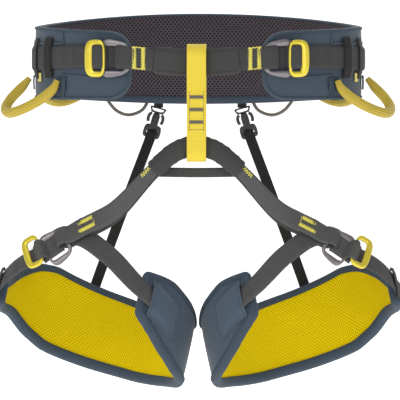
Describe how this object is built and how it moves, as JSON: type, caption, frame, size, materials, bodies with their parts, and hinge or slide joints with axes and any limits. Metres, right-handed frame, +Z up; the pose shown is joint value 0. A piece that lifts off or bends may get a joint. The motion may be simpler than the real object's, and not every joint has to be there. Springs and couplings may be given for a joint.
{
  "type": "climbing harness",
  "caption": "Padded sit harness: waist belt with buckles and gear loops, belay loop, bridge and two adjustable leg loops on elastic risers with release clips.",
  "frame": {"origin": "middle of the waist opening, level with the waist webbing", "axes": "+Z up, -Y the way the wearer faces (tie-in and belay loop), +X to the viewer's right when looking at the front"},
  "size_m": [0.4336, 0.2369, 0.3919],
  "materials": {
    "blue_shell_fabric": "woven slate-blue face fabric",
    "foam": "closed-cell foam, hidden",
    "dark_spacer_mesh": "perforated spacer mesh",
    "yellow_spacer_mesh": "perforated spacer mesh",
    "blue_binding": "folded binding tape with a stitch line",
    "dark_webbing": "ribbed load webbing",
    "sleeve_fabric": "tight woven protection sleeve",
    "yellow_webbing": "flat woven webbing",
    "yellow_thread": "zigzag bartack thread",
    "grey_thread": "zigzag bartack thread",
    "grey_anodised": "bead-blasted grey anodised aluminium",
    "yellow_anodised": "satin yellow anodised aluminium",
    "black_elastic": "ribbed elastic webbing",
    "gear_loop_plastic": "ribbed moulded thermoplastic",
    "cord": "braided accessory cord",
    "black_plastic": "moulded acetal"
  },
  "bodies": {
    "root": {"belt_outer_shell": "blue_shell_fabric", "belt_foam_core": "foam", "belt_mesh_lining": "dark_spacer_mesh", "belt_edge_binding": "blue_binding", "waist_webbing": "dark_webbing", "tie_in_webbing": "dark_webbing", "tie_in_sleeve": "sleeve_fabric", "waist_bartacks": "yellow_thread", "waist_buckle_frame_left": "grey_anodised", "waist_buckle_frame_right": "grey_anodised", "waist_keepers_left": "black_elastic", "waist_keepers_right": "black_elastic", "gear_loop_tabs_left": "blue_shell_fabric", "gear_loop_tabs_right": "blue_shell_fabric", "haul_cord_left": "cord", "haul_cord_right": "cord", "riser_tab_left": "black_elastic", "riser_tab_right": "black_elastic", "riser_clip_female_left": "black_plastic", "riser_clip_female_right": "black_plastic"},
    "leg_loops": {"belay_loop": "yellow_webbing", "belay_loop_stitching": "grey_thread", "bridge_sleeve": "sleeve_fabric", "bridge_end_tapes": "yellow_webbing", "bridge_webbing": "dark_webbing", "cross_strap": "dark_webbing", "leg_bartacks": "yellow_thread", "leg_keepers": "black_elastic", "leg_shell_left": "blue_shell_fabric", "leg_shell_right": "blue_shell_fabric", "leg_foam_left": "foam", "leg_foam_right": "foam", "leg_lining_left": "yellow_spacer_mesh", "leg_lining_right": "yellow_spacer_mesh", "leg_binding_left": "blue_binding", "leg_binding_right": "blue_binding", "leg_inner_strap_left": "dark_webbing", "leg_inner_strap_right": "dark_webbing", "leg_adjuster_webbing_left": "dark_webbing", "leg_adjuster_webbing_right": "dark_webbing", "leg_buckle_frame_left": "grey_anodised", "leg_buckle_frame_right": "grey_anodised", "riser_strap_left": "black_elastic", "riser_strap_right": "black_elastic"},
    "waist_slider_left": {"waist_buckle_slider_left": "yellow_anodised"},
    "leg_slider_left": {"leg_buckle_slider_left": "yellow_anodised"},
    "front_gear_loop_left": {"gear_loop_front_left": "gear_loop_plastic"},
    "rear_gear_loop_left": {"gear_loop_rear_left": "gear_loop_plastic"},
    "riser_plug_left": {"riser_clip_male_left": "black_plastic"},
    "prong_inner_left": {"riser_prong_inner_left": "black_plastic"},
    "prong_outer_left": {"riser_prong_outer_left": "black_plastic"},
    "waist_slider_right": {"waist_buckle_slider_right": "yellow_anodised"},
    "leg_slider_right": {"leg_buckle_slider_right": "yellow_anodised"},
    "front_gear_loop_right": {"gear_loop_front_right": "gear_loop_plastic"},
    "rear_gear_loop_right": {"gear_loop_rear_right": "gear_loop_plastic"},
    "riser_plug_right": {"riser_clip_male_right": "black_plastic"},
    "prong_inner_right": {"riser_prong_inner_right": "black_plastic"},
    "prong_outer_right": {"riser_prong_outer_right": "black_plastic"}
  },
  "joints": [
    {"name": "leg_loops_swing", "type": "hinge", "parent": "root", "child": "leg_loops", "pos_m": [0, -0.1098, 0.002], "axis": [1, 0, 0], "range_deg": [-18, 10], "stiffness_Nm_per_rad": 1.2, "springref_deg": 10.03, "deforming": ["riser_strap_left", "riser_strap_right"]},
    {"name": "waist_slider_tilt_left", "type": "hinge", "parent": "root", "child": "waist_slider_left", "pos_m": [-0.09778, -0.09732, 0.00797], "axis": [0, 0, 1], "range_deg": [0, 32]},
    {"name": "leg_slider_tilt_left", "type": "hinge", "parent": "leg_loops", "child": "leg_slider_left", "pos_m": [-0.165, -0.08815, -0.19134], "axis": [-0.2482, 0.548, 0.7988], "range_deg": [0, 32]},
    {"name": "front_gear_loop_flex_left", "type": "hinge", "parent": "root", "child": "front_gear_loop_left", "pos_m": [-0.16333, -0.03503, -0.018], "axis": [-0.456, 0.89, 0], "range_deg": [0, 35], "stiffness_Nm_per_rad": 0.06, "springref_deg": 1.72},
    {"name": "rear_gear_loop_flex_left", "type": "hinge", "parent": "root", "child": "rear_gear_loop_left", "pos_m": [-0.14122, 0.06747, -0.018], "axis": [0.7552, 0.6555, 0], "range_deg": [0, 50], "stiffness_Nm_per_rad": 0.06, "springref_deg": 0.31},
    {"name": "riser_clip_release_left", "type": "slide", "parent": "root", "child": "riser_plug_left", "axis": [0.2756, 0, 0.9613], "range_m": [0, 0.016], "deforming": ["riser_tab_left"]},
    {"name": "prong_squeeze_left", "type": "hinge", "parent": "riser_plug_left", "child": "prong_inner_left", "pos_m": [-0.04089, 0.111, -0.06178], "axis": [0, 1, 0], "range_deg": [0, 8], "stiffness_Nm_per_rad": 0.02},
    {"name": "prong_squeeze_outer_left", "type": "hinge", "parent": "riser_plug_left", "child": "prong_outer_left", "pos_m": [-0.05127, 0.111, -0.0588], "axis": [0, -1, 0], "range_deg": [0, 8], "stiffness_Nm_per_rad": 0.02},
    {"name": "waist_slider_tilt_right", "type": "hinge", "parent": "root", "child": "waist_slider_right", "pos_m": [0.09778, -0.09732, 0.00797], "axis": [0, 0, -1], "range_deg": [0, 32]},
    {"name": "leg_slider_tilt_right", "type": "hinge", "parent": "leg_loops", "child": "leg_slider_right", "pos_m": [0.165, -0.08815, -0.19134], "axis": [-0.2482, -0.548, -0.7988], "range_deg": [0, 32]},
    {"name": "front_gear_loop_flex_right", "type": "hinge", "parent": "root", "child": "front_gear_loop_right", "pos_m": [0.16333, -0.03503, -0.018], "axis": [-0.456, -0.89, 0], "range_deg": [0, 35], "stiffness_Nm_per_rad": 0.06, "springref_deg": 1.72},
    {"name": "rear_gear_loop_flex_right", "type": "hinge", "parent": "root", "child": "rear_gear_loop_right", "pos_m": [0.14122, 0.06747, -0.018], "axis": [0.7552, -0.6555, 0], "range_deg": [0, 50], "stiffness_Nm_per_rad": 0.06, "springref_deg": 0.31},
    {"name": "riser_clip_release_right", "type": "slide", "parent": "root", "child": "riser_plug_right", "axis": [-0.2756, 0, 0.9613], "range_m": [0, 0.016], "deforming": ["riser_tab_right"]},
    {"name": "prong_squeeze_right", "type": "hinge", "parent": "riser_plug_right", "child": "prong_inner_right", "pos_m": [0.04089, 0.111, -0.06178], "axis": [0, -1, 0], "range_deg": [0, 8], "stiffness_Nm_per_rad": 0.02},
    {"name": "prong_squeeze_outer_right", "type": "hinge", "parent": "riser_plug_right", "child": "prong_outer_right", "pos_m": [0.05127, 0.111, -0.0588], "axis": [0, 1, 0], "range_deg": [0, 8], "stiffness_Nm_per_rad": 0.02}
  ],
  "couplings": [
    {"joint": "prong_squeeze_outer_left", "follows": "prong_squeeze_left", "ratio": 1},
    {"joint": "prong_squeeze_outer_right", "follows": "prong_squeeze_right", "ratio": 1}
  ]
}
